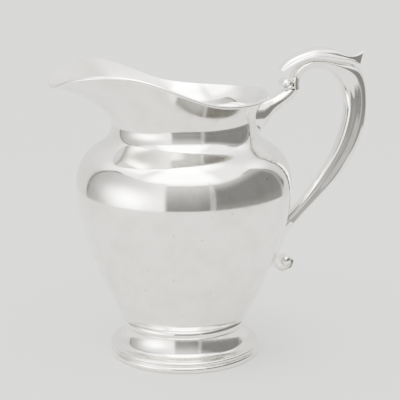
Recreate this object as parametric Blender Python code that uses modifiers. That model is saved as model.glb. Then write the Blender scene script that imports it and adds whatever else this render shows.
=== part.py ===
"""Silver water pitcher: a spun baluster body on a stepped foot, a let-in spout and a cast scroll handle.

The script stands alone. It works in metres with +Z up. The spout points to -X, the handle to +X and the
pitcher is the same on both sides of the XZ plane. The foot stands on z = 0.
"""
import math

import bmesh
import bpy
import numpy as np

MM = 0.001
GAP = 0.3 * MM                  # clearance left at each soldered joint

TURNED_STEPS = 48
SHELL_WALL = 1.5 * MM
CAST_WALL = 1.8 * MM

# Body outline outside the wall, radius and height in millimetres, from the bottom up.
BOWL_OUTLINE = [(45.4, 28.4), (51.4, 39.5), (61.2, 60.5), (70.3, 86.4), (75.4, 107.0), (76.8, 120.0), (76.6, 126.0)]
SHOULDER_OUTLINE = [(76.6, 126.3), (74.9, 135.5), (71.2, 143.5), (65.0, 149.8), (57.4, 155.0), (52.6, 160.5),
                    (51.1, 167.0)]
NECK_RADIUS = SHOULDER_OUTLINE[-1][0] * MM
NECK_HEIGHT = SHOULDER_OUTLINE[-1][1] * MM

# Lip seen from above: a round rim that a bell-shaped swelling draws out into the spout.
RIM_RADIUS = 58.3 * MM
SPOUT_SWELL = 35.6 * MM
SPOUT_SPREAD = 0.95
SPOUT_POWER = 1.88
# Lip seen from the side: a mean height, cosines of one to five turns, and a dip where the water leaves.
LIP_HEIGHT = 194.5 * MM
LIP_WAVES = (11.3 * MM, 2.8 * MM, -3.3 * MM, -2.3 * MM, -0.9 * MM)
POUR_DIP = 5.0 * MM
POUR_DIP_SPREAD = math.radians(13)
RIM_WIRE_RADIUS = 1.2 * MM
SPOUT_HALF_ANGLE = math.radians(75)
FLARE_ROWS = 7
FLARE_COLUMNS = 48

# Foot: heights and radii in millimetres.
FOOT_OUTER = [(42.3, 20.2), (42.55, 18.8), (43.05, 16.6), (43.85, 14.2), (44.9, 12.0), (46.3, 9.9), (48.6, 8.6),
              (51.6, 8.25), (53.1, 7.9), (53.9, 7.0), (53.9, 5.9), (53.4, 5.2), (53.0, 4.8)]
FOOT_INNER = [(50.6, 4.8), (50.6, 6.2), (48.6, 7.0), (45.2, 8.4), (43.2, 11.2), (42.0, 14.4), (41.2, 17.6),
              (40.7, 20.2)]
COLLAR_MIDDLE = 42.2
COLLAR_BULGE = 3.2
BASE_RING_OUTLINE = [(53.0, 4.5), (54.0, 3.6), (54.3, 2.3), (54.0, 1.0), (53.4, 0.0), (49.6, 0.0), (49.6, 4.5)]

# Handle loop: the side towards the body and the side away from it, distance from the axis and height.
LOOP_INNER = [(85.9, 188.1), (86.3, 195.4), (90.6, 200.2), (99.0, 201.9), (110.0, 198.2), (118.1, 188.3),
              (121.6, 174.2), (119.7, 159.5), (113.1, 141.4), (103.9, 126.0), (88.6, 106.0), (77.0, 94.2)]
LOOP_OUTER = [(79.8, 188.1), (79.6, 197.8), (85.6, 205.9), (99.3, 209.3), (116.0, 206.8), (131.5, 201.6),
              (138.4, 181.5), (138.6, 168.2), (130.7, 139.2), (119.3, 122.5), (96.3, 100.4), (84.0, 87.4)]
LOOP_HALF_WIDTHS = (6.0, 6.4, 7.0, 7.4, 7.8, 8.0, 8.0, 7.9, 7.2, 6.5, 5.8, 5.4)
LOOP_STATIONS = 40
LOOP_SECTION_STEPS = 8

# Root of the handle: from the neck up to the loop.
ROOT_LOWER = [(56.0, 157.8), (59.6, 161.6), (65.8, 169.6), (75.5, 176.4), (83.2, 183.4), (85.8, 187.8)]
ROOT_UPPER = [(57.6, 181.4), (61.5, 182.1), (67.0, 183.9), (70.6, 185.7), (72.6, 186.8), (74.6, 187.8)]
ROOT_HALF_WIDTHS = (9.0, 7.6, 6.2, 5.8, 5.9, 6.0)
VOLUTE_CENTRE = (75.6, 192.2)
VOLUTE_RADIUS = 3.6
VOLUTE_HALF_WIDTH = 6.6

# Thumb cap that lies along the top of the loop and flies off it as a point.
CAP_LOWER = [(72.6, 201.4), (77.6, 204.6), (85.0, 208.4), (99.3, 211.2), (115.0, 208.9), (125.6, 206.6), (132.6, 203.2)]
CAP_UPPER = [(70.9, 202.4), (76.0, 208.4), (83.4, 212.8), (99.0, 217.0), (115.0, 214.6), (127.0, 210.9), (135.6, 213.2)]
CAP_HALF_WIDTHS = (4.6, 6.6, 8.0, 9.0, 8.6, 5.6, 2.0)

# Tail: runs down the body, leaves it and rolls up round a bead.
TAIL_BODY_SIDE = [(76.6, 93.7), (72.6, 89.3), (70.2, 84.0), (68.9, 78.5), (68.2, 71.5), (67.6, 65.5)]
TAIL_OUTER_SIDE = [(83.6, 86.8), (80.2, 83.4), (77.2, 79.2), (75.0, 74.6), (72.8, 70.0), (71.2, 65.5)]
TAIL_HALF_WIDTH = 5.4
SCROLL_CENTRE = (75.3, 60.3)
SCROLL_RADIUS = 7.8
SCROLL_STRIP = 3.0
SCROLL_TAPER = 0.6
SCROLL_TURN = math.radians(222)
BEAD_CENTRE = (77.2, 60.5)
BEAD_RADIUS = 4.0
BEAD_HALF_WIDTH = 6.0

# The origin sits midway between the lip's tip and the handle's back, which are the ends of the object.
HANDLE_REACH = 138.9 * MM
AXIS_X = (RIM_RADIUS + SPOUT_SWELL + RIM_WIRE_RADIUS - HANDLE_REACH) / 2

SILVER = (0.86, 0.85, 0.83, 1.0)


def silver(name, tint, roughness):
    """Polished silver, as one material for one sub-part."""
    material = bpy.data.materials.new(name)
    material.use_nodes = True
    shader = material.node_tree.nodes["Principled BSDF"]
    shader.inputs["Base Color"].default_value = tuple(c * tint for c in SILVER[:3]) + (1.0,)
    shader.inputs["Metallic"].default_value = 1.0
    shader.inputs["Roughness"].default_value = roughness
    return material


def smooth_path(points, count):
    """Catmull-Rom curve through hand-set points, read at even steps of its chord length."""
    path = np.array(points, float)
    ends = np.vstack([2 * path[0] - path[1], path, 2 * path[-1] - path[-2]])
    chord = np.hypot(*np.diff(path, axis=0).T)
    knots = np.concatenate([[0], np.cumsum(chord)])
    place = np.linspace(0, knots[-1], count)
    span = np.clip(np.searchsorted(knots, place, side="right") - 1, 0, len(path) - 2)
    t = ((place - knots[span]) / chord[span])[:, None]
    before, start, end, after = ends[span], ends[span + 1], ends[span + 2], ends[span + 3]
    return 0.5 * (2 * start + (end - before) * t + (2 * before - 5 * start + 4 * end - after) * t ** 2
                  + (3 * start - before - 3 * end + after) * t ** 3)


def offset_path(path, distance):
    """The same path moved sideways, to the right of its direction of travel."""
    along = np.gradient(path, axis=0)
    along /= np.linalg.norm(along, axis=1)[:, None]
    return path + distance * np.stack([along[:, 1], -along[:, 0]], axis=1)


def add_object(mesh, name, collection, tint=1.0, roughness=0.08):
    """Put a mesh on the body's axis, smooth-shaded, with a silver of its own."""
    mesh.materials.append(silver(name + "_silver", tint, roughness))
    mesh.shade_smooth()
    mesh.set_sharp_from_angle(angle=math.radians(40))
    item = bpy.data.objects.new(name, mesh)
    item.location = (AXIS_X, 0, 0)
    collection.objects.link(item)
    return item


def turned(name, outline, closed, collection, tint=1.0):
    """Screw an outline of (radius, height) pairs in millimetres round the body's axis."""
    outline = np.array(outline) * MM
    points = [(radius, 0, height) for radius, height in outline]
    edges = [(i, i + 1) for i in range(len(points) - 1)]
    if closed:
        edges.append((len(points) - 1, 0))
    mesh = bpy.data.meshes.new(name)
    mesh.from_pydata(points, edges, [])
    item = add_object(mesh, name, collection, tint)
    screw = item.modifiers.new("turn", "SCREW")
    screw.steps = TURNED_STEPS
    screw.render_steps = TURNED_STEPS
    screw.use_merge_vertices = True
    screw.merge_threshold = 0.00001
    screw.use_smooth_shade = True
    return item


def mesh_from_grid(name, grid, keep=None, wrap=False, flip=False):
    """Quads over a rows by columns by 3 grid; keep picks the cells, wrap joins the last column to the first."""
    rows, columns = grid.shape[:2]
    last = columns if wrap else columns - 1
    faces = []
    for row in range(rows - 1):
        for column in range(last):
            if keep is not None and not keep[row, column]:
                continue
            beside = (column + 1) % columns
            face = (row * columns + column, row * columns + beside,
                    (row + 1) * columns + beside, (row + 1) * columns + column)
            faces.append(face[::-1] if flip else face)
    used = sorted({corner for face in faces for corner in face})
    place = {old: new for new, old in enumerate(used)}
    mesh = bpy.data.meshes.new(name)
    vertices = grid.reshape(-1, 3)[used]
    mesh.from_pydata(vertices.tolist(), [], [[place[corner] for corner in face] for face in faces])
    return mesh


def close_ends(mesh):
    """Fill the open loops at the ends of a lofted tube."""
    form = bmesh.new()
    form.from_mesh(mesh)
    loose = [edge for edge in form.edges if edge.is_boundary]
    bmesh.ops.holes_fill(form, edges=loose, sides=0)
    bmesh.ops.recalc_face_normals(form, faces=form.faces)
    form.to_mesh(mesh)
    form.free()


def solidify(item, thickness):
    """Give an open surface its wall, on the side that its faces turn away from."""
    wall = item.modifiers.new("wall", "SOLIDIFY")
    wall.thickness = thickness
    wall.offset = -1
    wall.use_even_offset = True


def lip_radius(turn):
    """Distance of the lip from the axis at an angle from the spout."""
    swell = SPOUT_SWELL * np.exp(-(np.abs(turn) / SPOUT_SPREAD) ** SPOUT_POWER)
    return RIM_RADIUS + swell


def lip_height(turn):
    """Height of the lip at an angle from the spout."""
    waves = sum(size * np.cos((i + 1) * turn) for i, size in enumerate(LIP_WAVES))
    return LIP_HEIGHT + waves - POUR_DIP * np.exp(-(turn / POUR_DIP_SPREAD) ** 2)


def flare_point(turn, t):
    """Bezier curve from the neck's narrowest ring out to the lip, steep at the back and flat along the spout."""
    spoutness = np.exp(-(np.abs(turn) / 0.58) ** 3)
    lip_r, lip_z = lip_radius(turn), lip_height(turn)
    span = np.hypot(lip_r - NECK_RADIUS, lip_z - NECK_HEIGHT)
    reach = 26.5 * MM * spoutness + 0.76 * span * (1 - spoutness)
    slope = np.radians(51.0 - 37.0 * spoutness)
    rise = (3.0 + 6.0 * spoutness) * MM
    weights = ((1 - t) ** 3, 3 * t * (1 - t) ** 2, 3 * t ** 2 * (1 - t), t ** 3)
    radii = (NECK_RADIUS, NECK_RADIUS, lip_r - reach * np.cos(slope), lip_r)
    heights = (NECK_HEIGHT, NECK_HEIGHT + rise, lip_z - reach * np.sin(slope), lip_z)
    radius = sum(w * r for w, r in zip(weights, radii))
    height = sum(w * z for w, z in zip(weights, heights))
    return radius, height


def polar_grid(turn, radius, height):
    """Points at angles from the spout, which points to -X."""
    return np.stack([-radius * np.cos(turn), -radius * np.sin(turn), height + 0 * turn], axis=-1)


def flare_grid(turns, first_t):
    """Rows from the neck up to just under the rim wire, one column for each angle."""
    turn = turns[None, :]
    length = np.hypot(lip_radius(turn) - NECK_RADIUS, lip_height(turn) - NECK_HEIGHT)
    last_t = 1 - (RIM_WIRE_RADIUS + GAP) / length
    t = first_t + (last_t - first_t) * np.linspace(0, 1, FLARE_ROWS)[:, None]
    radius, height = flare_point(turn + 0 * t, t)
    return polar_grid(turn + 0 * t, radius, height)


def add_bowl(collection):
    """Lower body: a spun bowl with a flat floor."""
    outer = smooth_path(BOWL_OUTLINE, 13)
    inner = offset_path(outer, -SHELL_WALL / MM)
    inner = inner[inner[:, 1] > outer[0, 1] + SHELL_WALL / MM]
    inner[-1, 1] = outer[-1, 1]
    floor = outer[0, 1] + SHELL_WALL / MM
    outline = [(0.0, floor), (inner[0, 0] - 1.0, floor), *inner.tolist(), *outer[::-1].tolist(), (0.0, outer[0, 1])]
    return turned("bowl", outline, False, collection, 0.99)


def add_upper_shell(collection):
    """Shoulder, neck and the back of the flared mouth, open at the front for the spout."""
    turns = np.linspace(0, 2 * np.pi, FLARE_COLUMNS, endpoint=False) + np.pi / FLARE_COLUMNS
    outline = smooth_path(SHOULDER_OUTLINE, 13) * MM
    lower = polar_grid(turns[None, :] + 0 * outline[:, :1], outline[:, :1], outline[:, 1:])
    signed = (turns + np.pi) % (2 * np.pi) - np.pi
    upper = flare_grid(signed, 0.0)[1:]
    grid = np.concatenate([lower, upper])
    middle = np.roll(signed, -1)
    front = (np.abs(signed) < SPOUT_HALF_ANGLE) | (np.abs(middle) < SPOUT_HALF_ANGLE)
    keep = np.ones((len(grid) - 1, FLARE_COLUMNS), bool)
    keep[len(lower) - 1:, front] = False
    item = add_object(mesh_from_grid("upper_shell", grid, keep, wrap=True), "upper_shell", collection)
    solidify(item, SHELL_WALL)
    return item, np.abs(signed[~front]).min()


def add_spout(collection, edge_turn):
    """Spout let into the front of the neck; its sides stop a gap short of the mouth's back."""
    side = edge_turn - GAP / NECK_RADIUS
    turns = np.linspace(-side, side, 25)
    grid = flare_grid(turns, GAP / (30 * MM))
    item = add_object(mesh_from_grid("spout", grid), "spout", collection, 1.01)
    solidify(item, SHELL_WALL)
    return item


def add_rim_wire(collection):
    """Round wire that stiffens the lip."""
    turns = np.linspace(0, 2 * np.pi, 72, endpoint=False)
    signed = (turns + np.pi) % (2 * np.pi) - np.pi
    points = polar_grid(signed, lip_radius(signed), lip_height(signed))
    curve = bpy.data.curves.new("rim_wire", "CURVE")
    curve.dimensions = "3D"
    spline = curve.splines.new("POLY")
    spline.points.add(len(points) - 1)
    spline.points.foreach_set("co", np.hstack([points, np.ones((len(points), 1))]).ravel())
    spline.use_cyclic_u = True
    curve.bevel_depth = RIM_WIRE_RADIUS
    curve.bevel_resolution = 2
    curve.materials.append(silver("rim_wire_silver", 1.0, 0.08))
    item = bpy.data.objects.new("rim_wire", curve)
    item.location = (AXIS_X, 0, 0)
    collection.objects.link(item)
    return item


def add_foot(collection):
    """Bead under the bowl, spun foot with a cove and an ovolo, and the ring it stands on."""
    gap = GAP / MM
    bead_top = BOWL_OUTLINE[0][1] - gap
    bead_low = FOOT_OUTER[0][1] + gap
    bead_middle = (bead_top + bead_low) / 2
    bead_rise = (bead_top - bead_low) / 2
    turn = np.radians(np.linspace(80, -80, 9))
    bead = [(COLLAR_MIDDLE + COLLAR_BULGE * math.cos(a), bead_middle + bead_rise * math.sin(a) / math.sin(turn[0]))
            for a in turn]
    turned("collar_bead", [(39.4, bead_top), *bead, (39.4, bead_low)], True, collection, 0.98)
    turned("foot", [*FOOT_OUTER, *FOOT_INNER], True, collection, 1.0)
    turned("base_ring", BASE_RING_OUTLINE, True, collection, 0.97)


def section_points(inner, outer, half_width, angles, power):
    """Closed rounded section between two guide points; angle 0 is the side away from the body."""
    centre = (inner + outer) / 2
    reach = (outer - inner) / 2
    bend = np.abs(np.cos(angles)) ** power * np.sign(np.cos(angles))
    side = np.abs(np.sin(angles)) ** power * np.sign(np.sin(angles))
    plane = centre[:, None, :] + reach[:, None, :] * bend[None, :, None]
    lateral = half_width[:, None] * side[None, :]
    return np.stack([plane[..., 0], lateral, plane[..., 1]], axis=-1) * MM


def half_widths_along(values, count):
    """Half widths read at even steps between the given ones."""
    return np.interp(np.linspace(0, len(values) - 1, count), np.arange(len(values)), values)


def add_loop_half(collection, side, name):
    """One stamped half of the hollow handle loop; the two meet at a seam along the middle."""
    inner = smooth_path(LOOP_INNER, LOOP_STATIONS)
    outer = smooth_path(LOOP_OUTER, LOOP_STATIONS)
    widths = half_widths_along(LOOP_HALF_WIDTHS, LOOP_STATIONS)
    angles = np.linspace(0, np.pi, LOOP_SECTION_STEPS)
    across = outer - inner
    wall = CAST_WALL / MM * across / np.linalg.norm(across, axis=1)[:, None]
    skin = section_points(inner, outer, widths, angles, 0.8)
    hollow = section_points(inner + wall, outer - wall, widths - CAST_WALL / MM, angles[::-1], 0.8)
    grid = np.concatenate([skin, hollow], axis=1)
    grid[..., 1] = (np.abs(grid[..., 1]) + GAP / 2) * side
    mesh = mesh_from_grid(name, grid, wrap=True)
    close_ends(mesh)
    return add_object(mesh, name, collection)


def lofted(name, inner, outer, widths, collection, power=0.8, steps=12, tint=1.0):
    """Solid bar between two guide curves, closed at both ends."""
    angles = np.linspace(0, 2 * np.pi, steps, endpoint=False)
    grid = section_points(inner, outer, widths, angles, power)
    mesh = mesh_from_grid(name, grid, wrap=True)
    close_ends(mesh)
    return add_object(mesh, name, collection, tint)


def add_root(collection):
    """Arm that rises from the neck to the loop, its foot shaped to the neck."""
    stations = 12
    inner = smooth_path(ROOT_LOWER, stations)
    outer = smooth_path(ROOT_UPPER, stations)
    widths = half_widths_along(ROOT_HALF_WIDTHS, stations)
    angles = np.linspace(0, 2 * np.pi, 16, endpoint=False)
    grid = section_points(inner, outer, widths, angles, 0.9)
    back = np.linspace(0, 1, 40)
    neck_r, neck_z = flare_point(np.pi, back)
    shoulder = smooth_path(SHOULDER_OUTLINE, 40) * MM
    wall_z = np.concatenate([shoulder[:, 1], neck_z[1:]])
    wall_r = np.concatenate([shoulder[:, 0], neck_r[1:]])
    clear = np.interp(grid[0, :, 2], wall_z, wall_r) + 1.5 * GAP
    grid[0, :, 0] = np.sqrt(clear ** 2 - grid[0, :, 1] ** 2)
    mesh = mesh_from_grid("handle_root", grid, wrap=True)
    close_ends(mesh)
    return add_object(mesh, "handle_root", collection, 0.99)


def add_roll(name, centre, radius, half_width, collection, tint):
    """Short barrel lying across the handle, with rounded edges."""
    form = bmesh.new()
    bmesh.ops.create_cone(form, cap_ends=True, segments=20, radius1=radius * MM, radius2=radius * MM,
                          depth=2 * half_width * MM)
    mesh = bpy.data.meshes.new(name)
    form.to_mesh(mesh)
    form.free()
    item = add_object(mesh, name, collection, tint)
    item.location = (AXIS_X + centre[0] * MM, 0, centre[1] * MM)
    item.rotation_euler = (math.pi / 2, 0, 0)
    edge = item.modifiers.new("rounded_edge", "BEVEL")
    edge.width = 0.4 * radius * MM
    edge.segments = 2
    return item


def add_tail(collection):
    """Strip that leaves the loop, lies along the bowl and rolls up."""
    straight = 12
    body_side = smooth_path(TAIL_BODY_SIDE, straight)
    outer_side = smooth_path(TAIL_OUTER_SIDE, straight)
    turn = np.linspace(0, SCROLL_TURN, 15)[1:]
    start = math.atan2(TAIL_BODY_SIDE[-1][1] - SCROLL_CENTRE[1], TAIL_BODY_SIDE[-1][0] - SCROLL_CENTRE[0])
    around = start + turn
    spoke = np.stack([np.cos(around), np.sin(around)], axis=1)
    first_radius = math.dist(TAIL_BODY_SIDE[-1], SCROLL_CENTRE)
    outer_radius = first_radius + (SCROLL_RADIUS - first_radius) * np.minimum(turn / 1.0, 1)
    strip = SCROLL_STRIP * (1 - SCROLL_TAPER * turn / SCROLL_TURN)
    roll_out = np.array(SCROLL_CENTRE) + spoke * outer_radius[:, None]
    roll_in = np.array(SCROLL_CENTRE) + spoke * (outer_radius - strip)[:, None]
    inner = np.concatenate([body_side, roll_out])
    outer = np.concatenate([outer_side, roll_in])
    widths = np.full(len(inner), TAIL_HALF_WIDTH)
    return lofted("tail_scroll", inner, outer, widths, collection, power=0.5)


def add_cap(collection):
    """Leaf-shaped thumb cap."""
    stations = 18
    lower = smooth_path(CAP_LOWER, stations)
    upper = smooth_path(CAP_UPPER, stations)
    widths = half_widths_along(CAP_HALF_WIDTHS, stations)
    return lofted("thumb_cap", lower, upper, widths, collection, power=0.9, steps=14)


def main():
    for item in list(bpy.data.objects):
        bpy.data.objects.remove(item, do_unlink=True)
    pitcher = bpy.data.collections.new("water_pitcher")
    bpy.context.scene.collection.children.link(pitcher)

    add_bowl(pitcher)
    edge_turn = add_upper_shell(pitcher)[1]
    add_spout(pitcher, edge_turn)
    add_rim_wire(pitcher)
    add_foot(pitcher)
    add_root(pitcher)
    add_roll("upper_volute", VOLUTE_CENTRE, VOLUTE_RADIUS, VOLUTE_HALF_WIDTH, pitcher, 0.98)
    add_loop_half(pitcher, 1, "handle_left_half")
    add_loop_half(pitcher, -1, "handle_right_half")
    add_cap(pitcher)
    add_tail(pitcher)
    add_roll("scroll_bead", BEAD_CENTRE, BEAD_RADIUS, BEAD_HALF_WIDTH, pitcher, 0.98)


main()
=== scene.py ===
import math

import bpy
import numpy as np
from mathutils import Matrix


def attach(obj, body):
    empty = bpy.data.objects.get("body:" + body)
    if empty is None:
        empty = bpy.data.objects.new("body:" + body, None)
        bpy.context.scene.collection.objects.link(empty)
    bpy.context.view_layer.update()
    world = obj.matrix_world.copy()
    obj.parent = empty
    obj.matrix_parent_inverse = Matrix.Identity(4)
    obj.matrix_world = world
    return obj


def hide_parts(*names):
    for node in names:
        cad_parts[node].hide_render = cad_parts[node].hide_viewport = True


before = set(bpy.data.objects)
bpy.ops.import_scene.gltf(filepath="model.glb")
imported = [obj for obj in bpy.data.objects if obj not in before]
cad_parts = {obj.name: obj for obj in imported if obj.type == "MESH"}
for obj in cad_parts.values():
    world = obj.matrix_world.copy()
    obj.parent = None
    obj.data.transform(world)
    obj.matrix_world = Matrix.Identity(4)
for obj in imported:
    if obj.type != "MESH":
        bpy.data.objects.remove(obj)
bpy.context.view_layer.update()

# Silver water pitcher: spun body, let-in spout, stepped foot and scroll handle, in polished sterling silver.
#
# Every piece is a surface of two parameters worked out with numpy. The spout points to -X, the handle to +X,
# +Z is up and the foot stands on z = 0. AXIS_X is the body's axis.

MM = 0.001

# Sizes are in millimetres, and outlines are (distance from the body's axis, height).
# Body outside its wall, from the foot's bead up to the neck.
SHOULDER_SEAM = 126.15
NECK_RADIUS = 51.1
NECK_HEIGHT = 167.0
BODY_OUTLINE = [(45.4, 28.4), (51.4, 39.5), (61.2, 60.5), (70.3, 86.4), (75.4, 107.0), (76.8, 120.0),
                (76.6, SHOULDER_SEAM), (74.9, 135.5), (71.2, 143.5), (65.0, 149.8), (57.4, 155.0),
                (52.6, 160.5), (NECK_RADIUS, NECK_HEIGHT)]
SHELL_WALL = 1.5

# Soft corner between the bowl's wall and its floor: how far in it ends and bends, and the height it takes up.
CORNER_RUN = 6.0
CORNER_KNEE = 1.6
CORNER_RISE = 3.0
RING_STEP = 0.5

# Lip: a round rim that a bell-shaped swelling draws out, with a wavy height and a dip where the water leaves.
RIM_RADIUS = 58.3
SPOUT_SWELL = 35.6
SPOUT_SPREAD = 0.95
SPOUT_POWER = 1.88
LIP_HEIGHT = 194.5
LIP_WAVES = (11.3, 2.8, -3.3, -2.3, -0.9)
POUR_DIP = 5.0
POUR_DIP_SPREAD = math.radians(13)
RIM_WIRE_RADIUS = 1.2
SPOUT_SEAM = math.radians(78.75)

# Flare between neck and lip. On the spout and at the back: the length of its curve's last handle (at the
# back, a share of the distance), the slope at the lip and the length of the upright first handle.
SPOUT_TURN = 0.58
SPOUT_HANDLE = 26.5
BACK_HANDLE = 0.76
SPOUT_SLOPE = math.radians(14)
BACK_SLOPE = math.radians(51)
SPOUT_UPRIGHT = 9.0
BACK_UPRIGHT = 3.0

# The body's axis stands off the origin, so that the origin is under the middle of spout and handle.
HANDLE_REACH = 138.9
AXIS_X = (RIM_RADIUS + SPOUT_SWELL + RIM_WIRE_RADIUS - HANDLE_REACH) / 2

# Bead between bowl and foot: middle and half sizes of its oval, how far round it goes, and its bore.
COLLAR_MIDDLE = (42.2, 24.3)
COLLAR_HALF_SIZES = (3.2, 3.9)
COLLAR_ARC = math.radians(82)
COLLAR_BORE = [(39.4, 20.4), (39.4, 28.2)]

# Foot: a tall cove that ends in a flat shoulder, then a small rounded edge, and the ring that it stands on.
FOOT_COVE = [(42.3, 20.2), (42.55, 18.8), (43.05, 16.6), (43.85, 14.2), (44.9, 12.0), (46.3, 9.9),
             (48.6, 8.6), (51.6, 8.25)]
FOOT_OVOLO = [(51.6, 8.25), (53.1, 7.9), (53.9, 7.0), (53.9, 5.9), (53.4, 5.1), (52.9, 4.6)]
FOOT_INNER = [(50.6, 4.6), (50.6, 6.2), (48.6, 7.0), (45.2, 8.4), (43.2, 11.2), (42.0, 14.4), (41.2, 17.6),
              (40.7, 20.2)]
BASE_RING_EDGE = [(52.4, 4.7), (53.6, 4.1), (54.2, 2.9), (54.25, 1.6), (53.7, 0.4), (52.8, 0.0)]
BASE_RING_BORE = [(49.9, 0.0), (49.6, 0.3), (49.6, 4.5)]

# Handle loop: guides on the side towards the body and away from it. A section's points are (share of the way
# from the inner guide to the outer, share of the half width); the hollow's shares are of the whole section.
LOOP_INNER = [(85.9, 188.1), (86.3, 195.4), (90.6, 200.2), (99.0, 201.9), (110.0, 198.2), (118.1, 188.3),
              (121.6, 174.2), (119.7, 159.5), (113.1, 141.4), (103.9, 126.0), (88.6, 106.0), (77.0, 94.2)]
LOOP_OUTER = [(79.8, 188.1), (79.6, 197.8), (85.6, 205.9), (99.3, 209.3), (116.0, 206.8), (131.5, 201.6),
              (138.4, 181.5), (138.6, 168.2), (130.7, 139.2), (119.3, 122.5), (96.3, 100.4), (84.0, 87.4)]
LOOP_HALF_WIDTHS = (6.0, 6.5, 7.3, 8.0, 8.4, 8.4, 8.0, 7.3, 6.2, 5.8, 5.5, 5.3)
LOOP_SECTION = [(0.0, 0.0), (0.015, 0.26), (0.06, 0.47), (0.12, 0.62), (0.175, 0.70), (0.22, 0.73),
                (0.27, 0.755), (0.33, 0.81), (0.42, 0.87), (0.56, 0.945), (0.68, 1.0), (0.735, 1.0),
                (0.79, 0.95), (0.87, 0.77), (0.945, 0.45), (1.0, 0.0)]
LOOP_HOLLOW = 0.76
LOOP_HOLLOW_WIDTH = 0.78

# Arm from the neck; its oval is a sine raised to this power, so that its sides are a little fuller.
ROOT_LOWER = [(56.0, 157.8), (59.6, 161.6), (65.8, 169.6), (75.5, 176.4), (83.2, 183.4), (85.8, 187.8)]
ROOT_UPPER = [(57.6, 181.4), (61.5, 182.1), (67.0, 183.9), (70.6, 185.7), (72.6, 186.8), (74.6, 187.8)]
ROOT_HALF_WIDTHS = (9.0, 7.6, 6.2, 5.8, 5.9, 6.0)
ROOT_FULLNESS = 0.9

# Rolls across the handle, with the turns and depth of the groove in their ends and how domed the ends are.
VOLUTE = {"centre": (75.6, 192.2), "radius": 3.6, "half_width": 6.6, "turns": 1.6, "depth": 0.7, "dome": 0.5}
BEAD = {"centre": (77.2, 60.5), "radius": 4.0, "half_width": 6.0, "turns": 0.5, "depth": 0.15, "dome": 0.85}
ROLL_MIDDLE = 0.04
ROLL_SHOULDER = 0.86
ROLL_SQUARENESS = 2.6

# Leaf of the thumb cap, guides under it and over it.
CAP_LOWER = [(72.6, 201.4), (77.6, 204.6), (85.0, 208.4), (99.3, 211.2), (115.0, 208.9), (125.6, 206.6),
             (132.6, 203.2)]
CAP_UPPER = [(70.9, 202.4), (76.0, 208.4), (83.4, 212.8), (99.0, 217.0), (115.0, 214.6), (127.0, 210.9),
             (135.6, 213.2)]
CAP_HALF_WIDTHS = (4.6, 6.6, 8.0, 9.0, 8.6, 5.6, 2.0)
CAP_SECTION = [(0.28, 0.0), (0.22, 0.40), (0.10, 0.72), (0.03, 0.90), (0.06, 0.985), (0.15, 1.0),
               (0.22, 0.92), (0.29, 0.84), (0.38, 0.80), (0.50, 0.775), (0.66, 0.72), (0.82, 0.60),
               (0.93, 0.42), (0.985, 0.20), (1.0, 0.0)]

# Tail strip and its roll: the strip follows a circle of the scroll's radius for a turn and thins by a share.
TAIL_BODY_SIDE = [(76.6, 93.7), (72.6, 89.3), (70.2, 84.0), (68.9, 78.5), (68.2, 71.5), (67.6, 65.5)]
TAIL_OUTER_SIDE = [(83.6, 86.8), (80.2, 83.4), (77.2, 79.2), (75.0, 74.6), (72.8, 70.0), (71.2, 65.5)]
TAIL_HALF_WIDTH = 5.4
TAIL_FULLNESS = 0.75
SCROLL_CENTRE = (75.3, 60.3)
SCROLL_RADIUS = 7.8
SCROLL_STRIP = 3.0
SCROLL_TAPER = 0.6
SCROLL_TURN = math.radians(222)

# Grid steps: round a turned piece, along the body's outline, and round half a section of the handle.
ROUND_STEPS = 240
BODY_STEPS = 270
SECTION_STEPS = 40

# Edges that bend more than this, in degrees, are drawn sharp: on cut sheet and on the other pieces.
SHEET_SHARP = 60
PIECE_SHARP = 50

# Polished silver: its clouds, finger marks, pits and scratches, and its colours clean, dulled and pitted.
# The last is the share of light that it throws back.
CLOUD_SIZE = 18
FINGER_SIZE = 4
PIT_SPACING = 11
SCRATCH_WIDTH = 0.45
SILVER = "#f3f1eb"
TARNISH = "#d9d5ca"
PITTED = "#a8a498"
SILVER_REFLECTS = 0.89

# Camera from the body's axis and the floor, how far it looks down and to the side, and its lens.
CAMERA_PLACE = (-253.2, -866.6, 330.7)
CAMERA_DOWN = math.radians(13.65)
CAMERA_ASIDE = math.radians(17)
CAMERA_LENS = 117.0
CAMERA_SENSOR = 36.0

# Studio in metres: a floor, and a tent whose middle is above it.
FLOOR_HALF = 6
SURROUND_LIGHT = 2.35
TENT_RADIUS = 0.63
TENT_HEIGHT = 0.14

# Soft sides of the tent's panels, in degrees to the right of the camera as the pitcher sees it: where the
# left side starts and ends, and where the right side does, each counted from outside the panel.
WALL_SIDES = ((-117, -114), (-17, -21))
SHEET_SIDES = ((-20, -16.5), (27, 25))
GAP_SIDES = ((26, 27), (30, 29))
BOARD_SIDES = ((29, 31), (122, 118))
EDGE_LINE = 1.7


# ---------------------------------------------------------------- curves

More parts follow.
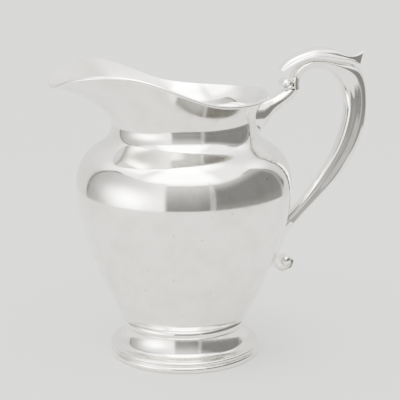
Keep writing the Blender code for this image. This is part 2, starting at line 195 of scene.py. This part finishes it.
def smooth_path(points, count, start=None, end=None):
    """Natural cubic spline through given points over their chord length, read at even steps.

    Its second derivatives solve the usual three-term equations. A start or end direction, where given, clamps
    that end instead of leaving it unbent.
    """
    path = np.array(points, float)
    gap = np.linalg.norm(np.diff(path, axis=0), axis=1)
    knots = np.concatenate([[0], np.cumsum(gap)])
    size = len(path)
    slope = np.diff(path, axis=0) / gap[:, None]
    left = np.zeros((size, size))
    right = np.zeros_like(path)
    inside = np.arange(1, size - 1)
    left[inside, inside - 1] = gap[:-1]
    left[inside, inside] = 2 * (gap[:-1] + gap[1:])
    left[inside, inside + 1] = gap[1:]
    right[inside] = 6 * np.diff(slope, axis=0)
    left[0, 0] = 1
    left[-1, -1] = 1
    if start is not None:
        left[0, :2] = (2 * gap[0], gap[0])
        right[0] = 6 * (slope[0] - np.array(start))
    if end is not None:
        left[-1, -2:] = (gap[-1], 2 * gap[-1])
        right[-1] = 6 * (np.array(end) - slope[-1])
    bend = np.linalg.solve(left, right)
    place = np.linspace(0, knots[-1], count)
    span = np.clip(np.searchsorted(knots, place, side="right") - 1, 0, size - 2)
    after = (place - knots[span])[:, None]
    before = (knots[span + 1] - place)[:, None]
    width = gap[span][:, None]
    return ((bend[span] * before ** 3 + bend[span + 1] * after ** 3) / (6 * width)
            + (path[span] / width - bend[span] * width / 6) * before
            + (path[span + 1] / width - bend[span + 1] * width / 6) * after)


def spread_along(values, count):
    """Widths read at even steps along a spline through the given ones."""
    stations = np.stack([np.arange(len(values)), np.array(values, float)], axis=1)
    return np.interp(np.linspace(0, len(values) - 1, count), *smooth_path(stations, 20 * len(values)).T)


def inset(path, distance):
    """The same path moved sideways, to the left of its direction of travel."""
    along = np.gradient(path, axis=0)
    along /= np.linalg.norm(along, axis=1)[:, None]
    return path + distance * np.stack([-along[:, 1], along[:, 0]], axis=1)


# ---------------------------------------------------------------- meshes

def cells(index):
    """Quads between neighbouring rows and columns of a grid of vertex numbers."""
    return np.stack([index[:-1, :-1], index[:-1, 1:], index[1:, 1:], index[1:, :-1]], axis=-1).reshape(-1, 4)


def closed_columns(index):
    """The same grid with its first column repeated after its last."""
    return np.concatenate([index, index[:, :1]], axis=1)


def signed_volume(points, quads):
    """Sum over faces of the tetrahedra they make with the origin; negative when faces look inwards."""
    corner = points[quads]
    halves = np.concatenate([corner[:, [0, 1, 2]], corner[:, [0, 2, 3]]])
    return np.einsum("ij,ij->i", halves[:, 0], np.cross(halves[:, 1], halves[:, 2])).sum() / 6


def piece(name, points, quads, material, node, sharp=PIECE_SHARP):
    """One finished piece: a mesh in place on the body's axis, facing outwards, that stands for a CAD node."""
    points = points.reshape(-1, 3) * MM + np.array([AXIS_X * MM, 0, 0])
    if signed_volume(points, quads) < 0:
        quads = quads[:, ::-1]
    mesh = bpy.data.meshes.new(name)
    folded = (quads[:, 2] == quads[:, 3]) | (quads[:, 0] == quads[:, 3])
    whole = [tuple(face) for face in quads[~folded].tolist()]
    thirds = [tuple(dict.fromkeys(face)) for face in quads[folded].tolist()]
    mesh.from_pydata(points.tolist(), [], whole + thirds)
    mesh.materials.append(material)
    mesh.shade_smooth()
    mesh.set_sharp_from_angle(angle=math.radians(sharp))
    item = bpy.data.objects.new(name, mesh)
    bpy.context.scene.collection.objects.link(item)
    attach(item, "root")
    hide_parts(node)


def ring_solid(name, grid, material, node):
    """Closed surface whose rows and columns both run round."""
    index = np.arange(grid.shape[0] * grid.shape[1]).reshape(grid.shape[:2])
    index = closed_columns(np.concatenate([index, index[:1]]))
    piece(name, grid, cells(index), material, node)


def capped_solid(name, grid, material, node):
    """Closed surface whose columns run round; its first and last rows are fanned to their own middles."""
    rows, columns = grid.shape[:2]
    index = closed_columns(np.arange(rows * columns).reshape(rows, columns))
    poles = np.stack([grid[0].mean(axis=0), grid[-1].mean(axis=0)])
    low = np.full(columns + 1, rows * columns)
    index = np.concatenate([low[None], index, low[None] + 1])
    points = np.concatenate([grid.reshape(-1, 3), poles])
    piece(name, points, cells(index), material, node)


def sheet_solid(name, outer, inner, keep, material, node, around=False):
    """Sheet metal between an outer and an inner grid, over the cells to keep, with its cut edges closed.

    An edge lies where a cell to keep has none beside it: below it, above it, to its left or to its right.
    """
    rows, columns = outer.shape[:2]
    index = np.arange(rows * columns).reshape(rows, columns)
    if around:
        index = closed_columns(index)
    below = index + rows * columns
    wide = np.pad(keep, ((1, 1), (0, 0)))
    tall = np.pad(keep, ((0, 0), (1, 1)), mode="wrap" if around else "constant")
    flat = keep.ravel()
    faces = [cells(index)[flat], cells(below)[flat][:, ::-1]]
    for edge, grid_index, grid_below, forward in (
            (wide[1:] & ~wide[:-1], index, below, True), (wide[:-1] & ~wide[1:], index, below, False),
            (tall[:, 1:] & ~tall[:, :-1], index.T, below.T, False),
            (tall[:, :-1] & ~tall[:, 1:], index.T, below.T, True)):
        mask = edge if grid_index is index else edge.T
        a, b = grid_index[:, :-1][mask], grid_index[:, 1:][mask]
        c, d = grid_below[:, 1:][mask], grid_below[:, :-1][mask]
        faces.append(np.stack([a, d, c, b] if forward else [a, b, c, d], axis=-1))
    quads = np.concatenate(faces)
    points = np.concatenate([outer.reshape(-1, 3), inner.reshape(-1, 3)])
    used, quads = np.unique(quads, return_inverse=True)
    piece(name, points[used], quads.reshape(-1, 4), material, node, SHEET_SHARP)


def turned(outline, angle):
    """(radius, height) pairs carried round the axis: (-r cos a, -r sin a, z), a measured from the spout."""
    radius, height = outline[:, :1], outline[:, 1:]
    return np.stack([-radius * np.cos(angle), -radius * np.sin(angle), height + 0 * angle], axis=-1)


def all_round(first, steps):
    """Evenly spread angles of a whole turn from the first, which isn't repeated."""
    return np.linspace(first, first + 2 * np.pi, steps, endpoint=False)


# ---------------------------------------------------------------- polished silver

def linear(code):
    """sRGB hex to linear colour."""
    channel = np.array([int(code[i:i + 2], 16) for i in (1, 3, 5)]) / 255
    channel = np.where(channel <= 0.04045, channel / 12.92, ((channel + 0.055) / 1.055) ** 2.4)
    return (*channel.tolist(), 1.0)


def add_node(tree, kind, links=(), **settings):
    """A shader node with its settings; links are (own input, other node, its output)."""
    node = tree.nodes.new(kind)
    for key, value in settings.items():
        if key.startswith("in_"):
            place = key[3:]
            node.inputs[int(place) if place.isdigit() else place.replace("_", " ")].default_value = value
        else:
            setattr(node, key, value)
    for own, other, output in links:
        tree.links.new(other.outputs[output], node.inputs[own])
    return node


def polished_silver(name, smudge=1.0, scratch=1.0, roughness=0.055):
    """Sterling silver, buffed to a mirror and then handled and wiped for years.

    To the eye it is a slightly warm mirror. Wiping leaves hair scratches of about 0.1 mm in crossing
    directions, drawn here several times as wide so that they show. Handling leaves dull clouds 10 to 30 mm
    across with finer finger marks in them, and sulphur in the air leaves faint warmer patches and small pits
    of tarnish.
    """
    material = bpy.data.materials.new(name)
    material.use_nodes = True
    tree = material.node_tree
    tree.nodes.clear()
    place = add_node(tree, "ShaderNodeTexCoord")

    cloud = add_node(tree, "ShaderNodeTexNoise", [("Vector", place, "Object")],
                     in_Scale=1 / (CLOUD_SIZE * MM), in_Detail=5.0, in_Roughness=0.62)
    finger = add_node(tree, "ShaderNodeTexNoise", [("Vector", place, "Object")],
                      in_Scale=1 / (FINGER_SIZE * MM), in_Detail=4.0, in_Roughness=0.6)
    speck = add_node(tree, "ShaderNodeTexVoronoi", [("Vector", place, "Object")],
                     in_Scale=1 / (PIT_SPACING * MM))
    pit = add_node(tree, "ShaderNodeMapRange", [("Value", speck, "Distance")], in_1=0.03, in_2=0.075,
                   in_3=1.0, in_4=0.0)

    hair = []
    for turn, stretch in ((0.5, (0.045, 1.0, 0.045)), (-0.9, (1.0, 0.05, 0.05)), (1.9, (0.06, 0.05, 1.0))):
        lay = add_node(tree, "ShaderNodeMapping", [("Vector", place, "Object")],
                       in_Rotation=(turn, 0.7 * turn, 1.3 * turn), in_Scale=stretch)
        hair.append(add_node(tree, "ShaderNodeTexNoise", [("Vector", lay, "Vector")],
                             in_Scale=1 / (SCRATCH_WIDTH * MM), in_Detail=2.0))
    pair = add_node(tree, "ShaderNodeMath", [(0, hair[0], "Fac"), (1, hair[1], "Fac")], operation="ADD")
    scratches = add_node(tree, "ShaderNodeMath", [(0, pair, 0), (1, hair[2], "Fac")], operation="ADD")

    dull = add_node(tree, "ShaderNodeMapRange", [("Value", cloud, "Fac")], in_1=0.40, in_2=0.72,
                    in_3=roughness, in_4=roughness + 0.075 * smudge)
    grain = add_node(tree, "ShaderNodeMapRange", [("Value", finger, "Fac")], in_1=0.35, in_2=0.75,
                     in_3=0.0, in_4=0.03 * smudge)
    rough = add_node(tree, "ShaderNodeMath", [(0, dull, 0), (1, grain, 0)], operation="ADD")

    tarnish = add_node(tree, "ShaderNodeMapRange", [("Value", cloud, "Fac")], in_1=0.44, in_2=0.74,
                       in_3=0.0, in_4=0.75 * smudge)
    toned = add_node(tree, "ShaderNodeMix", [(0, tarnish, 0)], data_type="RGBA", in_6=linear(SILVER),
                     in_7=linear(TARNISH))
    spotted = add_node(tree, "ShaderNodeMix", [(0, pit, 0), (6, toned, 2)], data_type="RGBA",
                       in_7=linear(PITTED))

    wave = add_node(tree, "ShaderNodeBump", [("Height", cloud, "Fac")], in_Strength=0.10 * smudge,
                    in_Distance=0.05 * MM)
    relief = add_node(tree, "ShaderNodeBump", [("Height", scratches, 0), ("Normal", wave, 0)],
                      in_Strength=0.055 * scratch, in_Distance=0.03 * MM)
    looks = [("Base Color", spotted, 2), ("Roughness", rough, 0), ("Normal", relief, 0)]
    shader = add_node(tree, "ShaderNodeBsdfPrincipled", looks, in_Metallic=1.0)
    add_node(tree, "ShaderNodeOutputMaterial", [("Surface", shader, 0)])
    return material


# ---------------------------------------------------------------- body

def lip_radius(turn):
    """Rim radius plus the swelling: swell times exp of minus (|turn| / spread) to the power."""
    return RIM_RADIUS + SPOUT_SWELL * np.exp(-(np.abs(turn) / SPOUT_SPREAD) ** SPOUT_POWER)


def lip_height(turn):
    """Mean height plus five cosine waves, less a bell-shaped dip at the spout's tip."""
    waves = sum(size * np.cos((i + 1) * turn) for i, size in enumerate(LIP_WAVES))
    return LIP_HEIGHT + waves - POUR_DIP * np.exp(-(turn / POUR_DIP_SPREAD) ** 2)


def flare(turn, t):
    """Cubic Bezier from the neck (t = 0, upright) to the lip (t = 1), steep at the back, flat on the spout.

    It bends sharply just above the neck and then runs nearly straight, because its last handle is long. The
    share of spout is exp of minus (|turn| / spout turn) cubed, and weighs the spout's values against the
    back's.
    """
    spoutness = np.exp(-(np.abs(turn) / SPOUT_TURN) ** 3)
    lip_r, lip_z = lip_radius(turn), lip_height(turn)
    span = np.hypot(lip_r - NECK_RADIUS, lip_z - NECK_HEIGHT)
    reach = SPOUT_HANDLE * spoutness + BACK_HANDLE * span * (1 - spoutness)
    slope = SPOUT_SLOPE * spoutness + BACK_SLOPE * (1 - spoutness)
    upright = SPOUT_UPRIGHT * spoutness + BACK_UPRIGHT * (1 - spoutness)
    weights = ((1 - t) ** 3, 3 * t * (1 - t) ** 2, 3 * t ** 2 * (1 - t), t ** 3)
    radii = (NECK_RADIUS, NECK_RADIUS, lip_r - reach * np.cos(slope), lip_r)
    heights = (NECK_HEIGHT, NECK_HEIGHT + upright, lip_z - reach * np.sin(slope), lip_z)
    radius = sum(w * r for w, r in zip(weights, radii))
    height = sum(w * z for w, z in zip(weights, heights))
    return np.stack([-radius * np.cos(turn), -radius * np.sin(turn), height], axis=-1)


def inner_face(outer, wall, around):
    """The grid moved in by the wall's thickness, along the cross product of its row and column directions."""
    up = np.gradient(outer, axis=0)
    if around:
        side = np.roll(outer, -1, axis=1) - np.roll(outer, 1, axis=1)
    else:
        side = np.gradient(outer, axis=1)
    normal = np.cross(up, side)
    normal /= np.linalg.norm(normal, axis=-1)[..., None]
    return outer + wall * normal


def body_outline(count):
    """The body from the bead to the neck, upright where it meets the flare."""
    return smooth_path(BODY_OUTLINE, count, end=(0.0, 1.0))


def seam_ring(outline):
    """The outline's point at the shoulder's seam, between two of its steps."""
    return np.interp(SHOULDER_SEAM, outline[:, 1], outline[:, 0]), SHOULDER_SEAM


def add_bowl(material):
    """Lower body: outline up to the seam, and inside it a floor with a soft corner, a quadratic Bezier."""
    outline = body_outline(BODY_STEPS)
    outer = outline[outline[:, 1] <= SHOULDER_SEAM]
    outer[-1] = seam_ring(outline)
    inner = inset(outer, SHELL_WALL)
    floor = outer[0, 1] + SHELL_WALL
    inner = inner[inner[:, 1] > floor + CORNER_RISE]
    start = np.array([inner[0, 0] - CORNER_RUN, floor])
    knee = np.array([inner[0, 0] - CORNER_KNEE, floor])
    t = np.linspace(0, 1, 12)[:, None]
    corner = (1 - t) ** 2 * start + 2 * t * (1 - t) * knee + t ** 2 * inner[0]
    flat = np.stack([np.linspace(RING_STEP, start[0], 8), np.full(8, floor)], axis=1)
    under = np.stack([np.linspace(outer[0, 0] - RING_STEP, RING_STEP, 8), np.full(8, outer[0, 1])], axis=1)
    whole = np.concatenate([flat[:-1], corner[:-1], inner, outer[::-1], under])
    capped_solid("bowl_body", turned(whole, all_round(0, ROUND_STEPS)), material, "bowl")


def add_upper_shell(material):
    """Shoulder and neck all round, and the flare everywhere but between the spout's two seams."""
    columns = 320
    turn = all_round(-np.pi, columns)
    outline = body_outline(BODY_STEPS)
    shoulder = outline[outline[:, 1] >= SHOULDER_SEAM]
    shoulder[0] = seam_ring(outline)
    lower = turned(shoulder, turn)
    t = np.linspace(0, 1, 60)[1:, None]
    outer = np.concatenate([lower, flare(turn + 0 * t, t + 0 * turn)])
    keep = np.ones((len(outer) - 1, columns), bool)
    cell_middle = turn + np.pi / columns
    keep[len(lower) - 1:, np.abs(cell_middle) < SPOUT_SEAM] = False
    inner = inner_face(outer, SHELL_WALL, True)
    sheet_solid("shoulder_and_neck", outer, inner, keep, material, "upper_shell", True)


def add_spout(material):
    """The flare between the two seams."""
    turn = np.linspace(-SPOUT_SEAM, SPOUT_SEAM, 181)
    t = np.linspace(0, 1, 90)[:, None]
    outer = flare(turn + 0 * t, t + 0 * turn)
    keep = np.ones((len(t) - 1, len(turn) - 1), bool)
    sheet_solid("pouring_spout", outer, inner_face(outer, SHELL_WALL, False), keep, material, "spout")


def add_rim_wire(material):
    """Round wire whose middle follows the lip; its section stands square to the lip's direction."""
    turn = all_round(-np.pi, 480)
    middle = flare(turn, np.ones_like(turn))
    along = np.roll(middle, -1, axis=0) - np.roll(middle, 1, axis=0)
    along /= np.linalg.norm(along, axis=1)[:, None]
    out = np.stack([-np.cos(turn), -np.sin(turn), 0 * turn], axis=-1)
    out -= (out * along).sum(axis=1)[:, None] * along
    out /= np.linalg.norm(out, axis=1)[:, None]
    up = np.cross(along, out)
    angle = all_round(0, 24)[None, :, None]
    ring = np.cos(angle) * out[:, None] + np.sin(angle) * up[:, None]
    ring_solid("rim_wire_round", middle[:, None] + RIM_WIRE_RADIUS * ring, material, "rim_wire")


# ---------------------------------------------------------------- foot

def add_foot(bead_silver, foot_silver):
    """Bead, cove with ovolo, and base ring, each a closed outline carried round the axis.

    The bead's outside is an oval's arc: middle plus half sizes times the cosine and sine of the angle.
    """
    angle = np.linspace(COLLAR_ARC, -COLLAR_ARC, 60)
    oval = np.stack([np.cos(angle), np.sin(angle)], axis=1) * COLLAR_HALF_SIZES
    bead = np.concatenate([oval + COLLAR_MIDDLE, COLLAR_BORE])
    cove = smooth_path(FOOT_COVE, 90)[:-1]
    foot = np.concatenate([cove, smooth_path(FOOT_OVOLO, 50), smooth_path(FOOT_INNER, 60)])
    base = np.concatenate([smooth_path(BASE_RING_EDGE, 30), BASE_RING_BORE])
    around = all_round(0, ROUND_STEPS)
    ring_solid("collar_bead_turned", turned(bead, around), bead_silver, "collar_bead")
    ring_solid("foot_spun", turned(foot, around), foot_silver, "foot")
    ring_solid("base_ring_turned", turned(base, around), foot_silver, "base_ring")


# ---------------------------------------------------------------- handle

def section_grid(inner, outer, half_width, section, side=0):
    """Section carried along two guides: s is the share of the way from inner to outer, v of the half width.

    Side 1 or -1 is one half of the section, and side 0 is the whole, closed by the mirrored half.
    """
    across = outer - inner
    s, v = section[:, 0], section[:, 1]
    if side == 0:
        s = np.concatenate([s, s[-2:0:-1]])
        v = np.concatenate([v, -v[-2:0:-1]])
    else:
        v = v * side
    plane = inner[:, None] + s[None, :, None] * across[:, None]
    return np.stack([plane[..., 0], half_width[:, None] * v[None, :], plane[..., 1]], axis=-1)


def add_loop(material):
    """Two stamped halves that meet at the middle plane; the hollow is their outside drawn in to its middle."""
    stations = 240
    inner = smooth_path(LOOP_INNER, stations)
    outer = smooth_path(LOOP_OUTER, stations)
    width = spread_along(LOOP_HALF_WIDTHS, stations)
    section = smooth_path(LOOP_SECTION, 72, start=(0.0, 1.0), end=(0.0, -1.0))
    keep = np.ones((stations - 1, len(section) - 1), bool)
    middle = np.zeros((stations, 1, 3))
    middle[:, 0, [0, 2]] = (inner + outer) / 2
    shares = np.array([LOOP_HOLLOW, LOOP_HOLLOW_WIDTH, LOOP_HOLLOW])
    for side, name in ((1, "left_half"), (-1, "right_half")):
        skin = section_grid(inner, outer, width, section, side)
        hollow = middle + shares * (skin - middle)
        sheet_solid("loop_" + name, skin, hollow, keep, material, "handle_" + name)


def add_root(material):
    """Arm from the neck to the loop: an oval section that narrows as it rises, its foot laid on the neck."""
    stations = 120
    inner = smooth_path(ROOT_LOWER, stations)
    outer = smooth_path(ROOT_UPPER, stations)
    width = spread_along(ROOT_HALF_WIDTHS, stations)
    angle = np.linspace(0, np.pi, SECTION_STEPS)
    section = np.stack([(1 - np.cos(angle)) / 2, np.sin(angle) ** ROOT_FULLNESS], axis=1)
    grid = section_grid(inner, outer, width, section)
    back = flare(np.pi, np.linspace(0, 1, 60))
    outline = np.concatenate([body_outline(300), back[1:, [0, 2]]])
    wall = np.interp(grid[0, :, 2], outline[:, 1], outline[:, 0])
    grid[0, :, 0] = np.sqrt(wall ** 2 - grid[0, :, 1] ** 2)
    capped_solid("handle_root_arm", grid, material, "handle_root")


def add_roll(name, node, material, centre, radius, half_width, turns, depth, dome):
    """Barrel across the handle whose ends are domes: at share s of the radius, an end falls by one minus the
    root of (1 - s to the squareness).

    A spiral groove is cut into each end as the cosine of (turns times s, less the angle), and it fades at the
    middle and at the edge.
    """
    angle = all_round(0, 72)
    shoulder = np.sin(np.linspace(0, np.pi / 2, 8)[1:])
    shoulder = ROLL_SHOULDER + (1 - ROLL_SHOULDER) * shoulder
    s = np.concatenate([np.linspace(ROLL_MIDDLE, ROLL_SHOULDER, 26), shoulder])[:, None]
    edge = half_width - dome * radius * (1 - np.sqrt(np.clip(1 - s ** ROLL_SQUARENESS, 0, 1)))
    cut = depth * (0.5 + 0.5 * np.cos(turns * 2 * np.pi * s - angle)) * np.sin(np.pi * np.clip(s, 0, 1))
    near = np.stack([radius * s * np.cos(angle), cut - edge, radius * s * np.sin(angle)], axis=-1)
    far = near[::-1] * np.array([1, -1, 1])
    grid = np.concatenate([near, far]) + np.array([centre[0], 0, centre[1]])
    capped_solid(name, grid, material, node)


def add_tail(material):
    """Strip along the bowl that rolls up: its end follows a circle about the scroll's centre and thins.

    Its section is an oval whose cosine and sine are both raised to the fullness, which squares its corners.
    """
    body_side = smooth_path(TAIL_BODY_SIDE, 90)
    outer_side = smooth_path(TAIL_OUTER_SIDE, 90)
    start = math.atan2(TAIL_BODY_SIDE[-1][1] - SCROLL_CENTRE[1], TAIL_BODY_SIDE[-1][0] - SCROLL_CENTRE[0])
    turn = np.linspace(0, SCROLL_TURN, 120)[1:]
    spoke = np.stack([np.cos(start + turn), np.sin(start + turn)], axis=1)
    first = math.dist(TAIL_BODY_SIDE[-1], SCROLL_CENTRE)
    radius = first + (SCROLL_RADIUS - first) * np.minimum(turn, 1)
    strip = SCROLL_STRIP * (1 - SCROLL_TAPER * turn / SCROLL_TURN)
    roll_out = np.array(SCROLL_CENTRE) + spoke * radius[:, None]
    roll_in = np.array(SCROLL_CENTRE) + spoke * (radius - strip)[:, None]
    inner = np.concatenate([body_side, roll_out])
    outer = np.concatenate([outer_side, roll_in])
    angle = np.linspace(0, np.pi, SECTION_STEPS)
    along = np.sign(np.cos(angle)) * np.abs(np.cos(angle)) ** TAIL_FULLNESS
    section = np.stack([(1 - along) / 2, np.sin(angle) ** TAIL_FULLNESS], axis=1)
    grid = section_grid(inner, outer, np.full(len(inner), TAIL_HALF_WIDTH), section)
    capped_solid("tail_strip_scroll", grid, material, "tail_scroll")


def add_cap(material):
    """Leaf on top of the loop: a domed section with an edge lip, between a lower and an upper guide."""
    stations = 160
    lower = smooth_path(CAP_LOWER, stations)
    upper = smooth_path(CAP_UPPER, stations)
    width = spread_along(CAP_HALF_WIDTHS, stations)
    section = smooth_path(CAP_SECTION, 84, start=(0.0, 1.0), end=(0.0, -1.0))
    capped_solid("thumb_cap_leaf", section_grid(lower, upper, width, section), material, "thumb_cap")


# ---------------------------------------------------------------- studio

def rise(value, low, high):
    """Smooth step from 0 at low to 1 at high; it falls when low is the larger."""
    share = np.clip((value - low) / (high - low), 0, 1)
    return share * share * (3 - 2 * share)


def panel(az, el, sides, low, high):
    """1 inside a panel of the tent and 0 outside: soft steps at its sides, and one in height, low to high."""
    left, right = sides
    return rise(az, *left) * rise(az, *right) * rise(el, low, high)


def lay_over(glow, light, inside):
    """The glow with a panel's light over it, as far as each point is inside the panel."""
    return glow + inside * (light - glow)


def edge_line(el, top, lean):
    """Bell-shaped line along a panel's top, over the distance square to it where the top has this slope."""
    away = (el - top) / np.sqrt(1 + lean ** 2)
    return np.exp(-(away / EDGE_LINE) ** 2)


def back_and_roof(az, el):
    """Even cloth behind the pitcher, and a brighter ceiling above 24 to 40 degrees elsewhere."""
    back = 1.5 + 0.6 * rise(el, 10, 50)
    roof = 3.8 + 11.0 * rise(np.abs(az + 2), 50, 28) + 2.0 * rise(az, 92, 104) * rise(el, 52, 40)
    roof = roof + 6.0 * rise(el, 44, 54) * rise(az, -56, -66) + 10.0 * rise(el, 62, 78)
    return lay_over(back, roof, rise(np.abs(az), 135, 95) * rise(el, 24, 40))


def white_wall(az, el, glow):
    """Long wall on the left, brighter towards the camera, with a lamp's bell-shaped spot and a dark top edge.

    The top edge rises gently, and past the wall's far stretch it falls away as a power of the angle.
    """
    lamp = 11.5 * np.exp(-((az + 56) / 14) ** 2 / 2 - ((el + 2) / 8) ** 2 / 2)
    light = 0.62 * np.exp((az + 110) / 51) + lamp
    past = np.clip((-88 - az) / 26, 0, 1.1)
    top = 32 + 6 * rise(az, -40, -75) - 38 * past ** 2.2
    glow = lay_over(glow, light, panel(az, el, WALL_SIDES, top + 3, top - 2))
    line = 0.94 * edge_line(el, top, 3.2 * past ** 1.2) * rise(az, -74, -86) * rise(az, -119, -117)
    return glow * (1 - line)


def grey_sheet(az, el, glow):
    """Grey sheet behind the camera, brighter with height, and the lit gap to its right."""
    light = 0.34 * np.exp((el + 9) / 22) * (1 - 0.22 * rise(az, 8, 24)) * (1 - 0.35 * rise(el, 21, 27))
    glow = lay_over(glow, light, panel(az, el, SHEET_SIDES, 29, 26.5))
    gap_light = 0.72 + 1.1 * rise(el, 10, 22)
    return lay_over(glow, gap_light, panel(az, el, GAP_SIDES, 40, 28))


def dark_board(az, el, glow):
    """Dark board on the right, lighter near the floor and the top, whose top edge rises and then falls."""
    top = 28 + 13 * rise(az, 34, 92) - 46 * rise(az, 97, 124)
    light = 0.25 + 0.06 * rise(el, -4, -10) + 0.62 * rise(el, top - 20, top) ** 2
    glow = lay_over(glow, light, panel(az, el, BOARD_SIDES, top + 3, top - 3))
    line = 0.9 * edge_line(el, top, 2.4 * rise(az, 97, 110)) * rise(az, 70, 80) * rise(az, 126, 123)
    return glow * (1 - line)


def tent_glow(az, el):
    """How bright the tent shows in the silver, az degrees to the right of the camera and el degrees up.

    Each part is a product of smooth steps in the two angles, and is laid over the one before it.
    """
    glow = back_and_roof(az, el)
    for lay in (white_wall, grey_sheet, dark_board):
        glow = lay(az, el, glow)
    return glow


def add_tent():
    """Dome round the pitcher that only reflections see, its light a number at each point: see tent_glow.

    Its lower edge is on the floor, and its grid is finer up to 44 degrees, where the panels end.
    """
    facing = math.atan2(CAMERA_PLACE[1], CAMERA_PLACE[0])
    az = np.linspace(-180, 180, 361)[None, :]
    el = np.concatenate([np.linspace(-12.8, 44, 143), np.linspace(45, 90, 46)])[:, None]
    turn, lift = facing + np.radians(az), np.radians(el)
    x = AXIS_X * MM + TENT_RADIUS * np.cos(lift) * np.cos(turn)
    y = TENT_RADIUS * np.cos(lift) * np.sin(turn)
    z = TENT_HEIGHT + TENT_RADIUS * np.sin(lift) + 0 * turn
    points = np.stack([x, y, z], axis=-1).reshape(-1, 3)
    mesh = bpy.data.meshes.new("tent")
    mesh.from_pydata(points.tolist(), [], cells(np.arange(len(points)).reshape(z.shape)).tolist())
    glow = tent_glow(az + 0 * el, el + 0 * az) / SILVER_REFLECTS
    mesh.attributes.new("glow", "FLOAT", "POINT").data.foreach_set("value", glow.ravel().astype(np.float32))
    cloth = bpy.data.materials.new("lit tent cloth")
    cloth.use_nodes = True
    tree = cloth.node_tree
    tree.nodes.clear()
    level = add_node(tree, "ShaderNodeAttribute", attribute_name="glow")
    light = add_node(tree, "ShaderNodeEmission", [("Strength", level, "Fac")], in_Color=linear("#fdfdfb"))
    add_node(tree, "ShaderNodeOutputMaterial", [("Surface", light, 0)])
    mesh.materials.append(cloth)
    tent = bpy.data.objects.new("tent", mesh)
    bpy.context.scene.collection.objects.link(tent)
    tent.visible_camera = False
    tent.visible_diffuse = False
    tent.visible_shadow = False


def add_studio():
    """Pale paper floor under an even surround, with the tent for the silver to mirror."""
    world = bpy.data.worlds.new("surround")
    bpy.context.scene.world = world
    world.use_nodes = True
    world.node_tree.nodes["Background"].inputs["Color"].default_value = linear("#fbfbfa")
    world.node_tree.nodes["Background"].inputs["Strength"].default_value = SURROUND_LIGHT

    mesh = bpy.data.meshes.new("floor")
    corners = [(x * FLOOR_HALF, y * FLOOR_HALF, 0) for x, y in ((-1, -1), (1, -1), (1, 1), (-1, 1))]
    mesh.from_pydata(corners, [], [(0, 1, 2, 3)])
    paper = bpy.data.materials.new("matt paper")
    paper.use_nodes = True
    paper.node_tree.nodes["Principled BSDF"].inputs["Base Color"].default_value = linear("#eeeeec")
    paper.node_tree.nodes["Principled BSDF"].inputs["Roughness"].default_value = 0.9
    mesh.materials.append(paper)
    floor = bpy.data.objects.new("floor", mesh)
    bpy.context.scene.collection.objects.link(floor)
    add_tent()


def add_camera():
    """Long lens just under a metre away, level across, looking down on the mouth from the spout's front."""
    data = bpy.data.cameras.new("camera")
    data.lens = CAMERA_LENS
    data.sensor_width = CAMERA_SENSOR
    camera = bpy.data.objects.new("camera", data)
    bpy.context.scene.collection.objects.link(camera)
    camera.rotation_euler = (math.pi / 2 - CAMERA_DOWN, 0, -CAMERA_ASIDE)
    camera.location = ((AXIS_X + CAMERA_PLACE[0]) * MM, CAMERA_PLACE[1] * MM, CAMERA_PLACE[2] * MM)
    bpy.context.scene.camera = camera


def main():
    spun = polished_silver("polished sterling silver, spun")
    lip = polished_silver("polished sterling silver, drawn wire", smudge=0.5, scratch=0.6)
    cast = polished_silver("polished sterling silver, cast", smudge=0.7, scratch=0.8, roughness=0.06)
    worn = polished_silver("polished sterling silver, worn foot", smudge=1.1, scratch=1.4, roughness=0.07)
    add_camera()
    add_studio()
    add_bowl(spun)
    add_upper_shell(spun)
    add_spout(spun)
    add_rim_wire(lip)
    add_foot(cast, worn)
    add_loop(cast)
    add_root(cast)
    add_roll("upper_volute_roll", "upper_volute", cast, **VOLUTE)
    add_cap(cast)
    add_tail(cast)
    add_roll("scroll_bead_roll", "scroll_bead", cast, **BEAD)


main()
